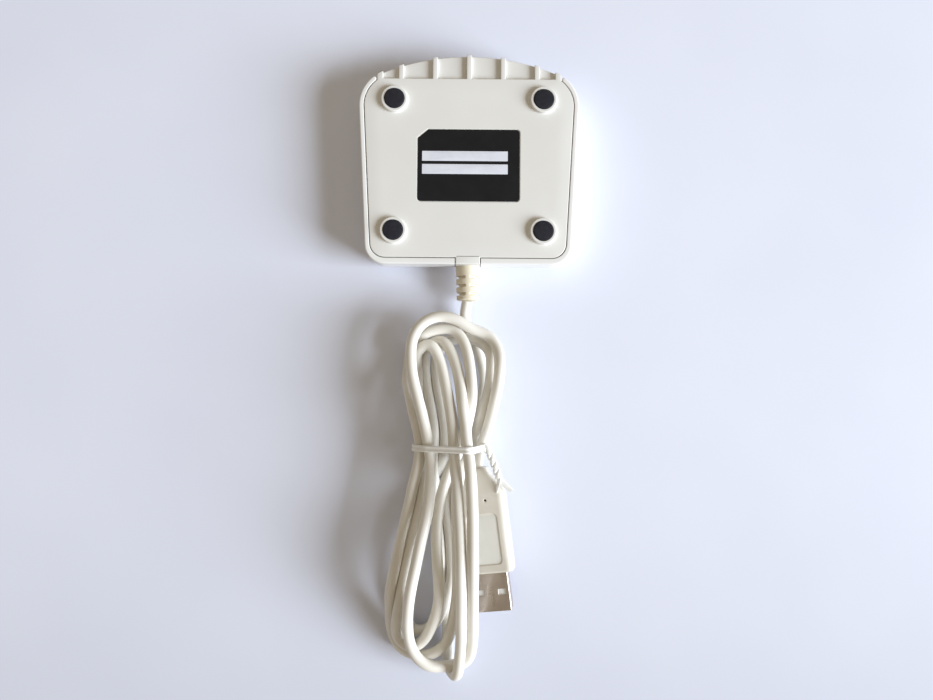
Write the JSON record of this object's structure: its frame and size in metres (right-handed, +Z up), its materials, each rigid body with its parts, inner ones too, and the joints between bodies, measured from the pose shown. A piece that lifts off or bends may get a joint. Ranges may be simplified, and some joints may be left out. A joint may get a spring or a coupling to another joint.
{
  "type": "smart card reader",
  "caption": "Desktop smart card reader with ribbed card tongue and four rubber feet, lying on its top cover, with its USB cable tied in a hank.",
  "frame": {"origin": "middle of the housing's box on the surface it lies on, the cable left out", "axes": "+Z up, out of the base cover, because the reader lies on its top cover as pictured; +Y towards the card slot; +X along the housing's width"},
  "size_m": [0.0722, 0.2043, 0.0213],
  "materials": {
    "white_abs": "fine moulded texture",
    "top_abs": "smooth moulded",
    "foot_rubber": "matte",
    "label_film": "satin printed film",
    "field_print": "printed",
    "screw_steel": "zinc plated",
    "board_green": "solder mask",
    "connector_black": "glass filled",
    "contact_gold": "gold plated",
    "chip_black": "moulded epoxy",
    "tin": "tin plated",
    "ceramic": "ceramic",
    "led_lens": "clear epoxy",
    "clear_pc": "clear moulded",
    "nylon_white": "nylon",
    "wire_red": "PVC",
    "wire_white": "PVC",
    "wire_green": "PVC",
    "wire_black": "PVC",
    "relief_pvc": "soft PVC",
    "cable_pvc": "soft PVC",
    "tie_plastic": "PE coated wire",
    "grip_pvc": "moulded PVC",
    "shell_steel": "nickel plated",
    "insulator_white": "moulded"
  },
  "bodies": {
    "root": {"base_cover": "white_abs", "top_cover": "top_abs", "foot_front_left": "foot_rubber", "foot_front_right": "foot_rubber", "foot_rear_left": "foot_rubber", "foot_rear_right": "foot_rubber", "rating_label": "label_film", "label_fields": "field_print", "case_screws": "screw_steel", "main_board": "board_green", "contact_frame": "connector_black", "contact_tails": "contact_gold", "detect_post": "contact_gold", "reader_chip": "chip_black", "chip_leads": "tin", "crystal": "tin", "chip_parts": "ceramic", "status_led": "led_lens", "light_pipe": "clear_pc", "wire_header": "nylon_white", "wire_housing": "nylon_white", "wire_red": "wire_red", "wire_white": "wire_white", "wire_green": "wire_green", "wire_black": "wire_black", "strain_relief": "relief_pvc", "cable_lead": "cable_pvc", "cable_hank": "cable_pvc", "cable_tail": "cable_pvc", "tie_band": "tie_plastic", "tie_twist": "tie_plastic", "plug_grip": "grip_pvc", "plug_shell": "shell_steel", "plug_insulator": "insulator_white", "plug_contacts": "contact_gold"},
    "front_contacts": {"contact_row_front": "contact_gold"},
    "rear_contacts": {"contact_row_rear": "contact_gold"},
    "detect_blade": {"detect_blade": "contact_gold"}
  },
  "joints": [
    {"name": "front_contacts_flex", "type": "hinge", "parent": "root", "child": "front_contacts", "pos_m": [0.0031, 0.01087, 0.0063], "axis": [1, 0, 0], "range_deg": [0, 3.5], "stiffness_Nm_per_rad": 0.02},
    {"name": "rear_contacts_flex", "type": "hinge", "parent": "root", "child": "rear_contacts", "pos_m": [0.0031, -0.01275, 0.0063], "axis": [-1, 0, 0], "range_deg": [0, 3.5], "stiffness_Nm_per_rad": 0.02},
    {"name": "detect_blade_flex", "type": "hinge", "parent": "root", "child": "detect_blade", "pos_m": [-0.012, -0.0154, 0.0068], "axis": [0, 0, -1], "range_deg": [0, 7], "stiffness_Nm_per_rad": 0.005}
  ]
}
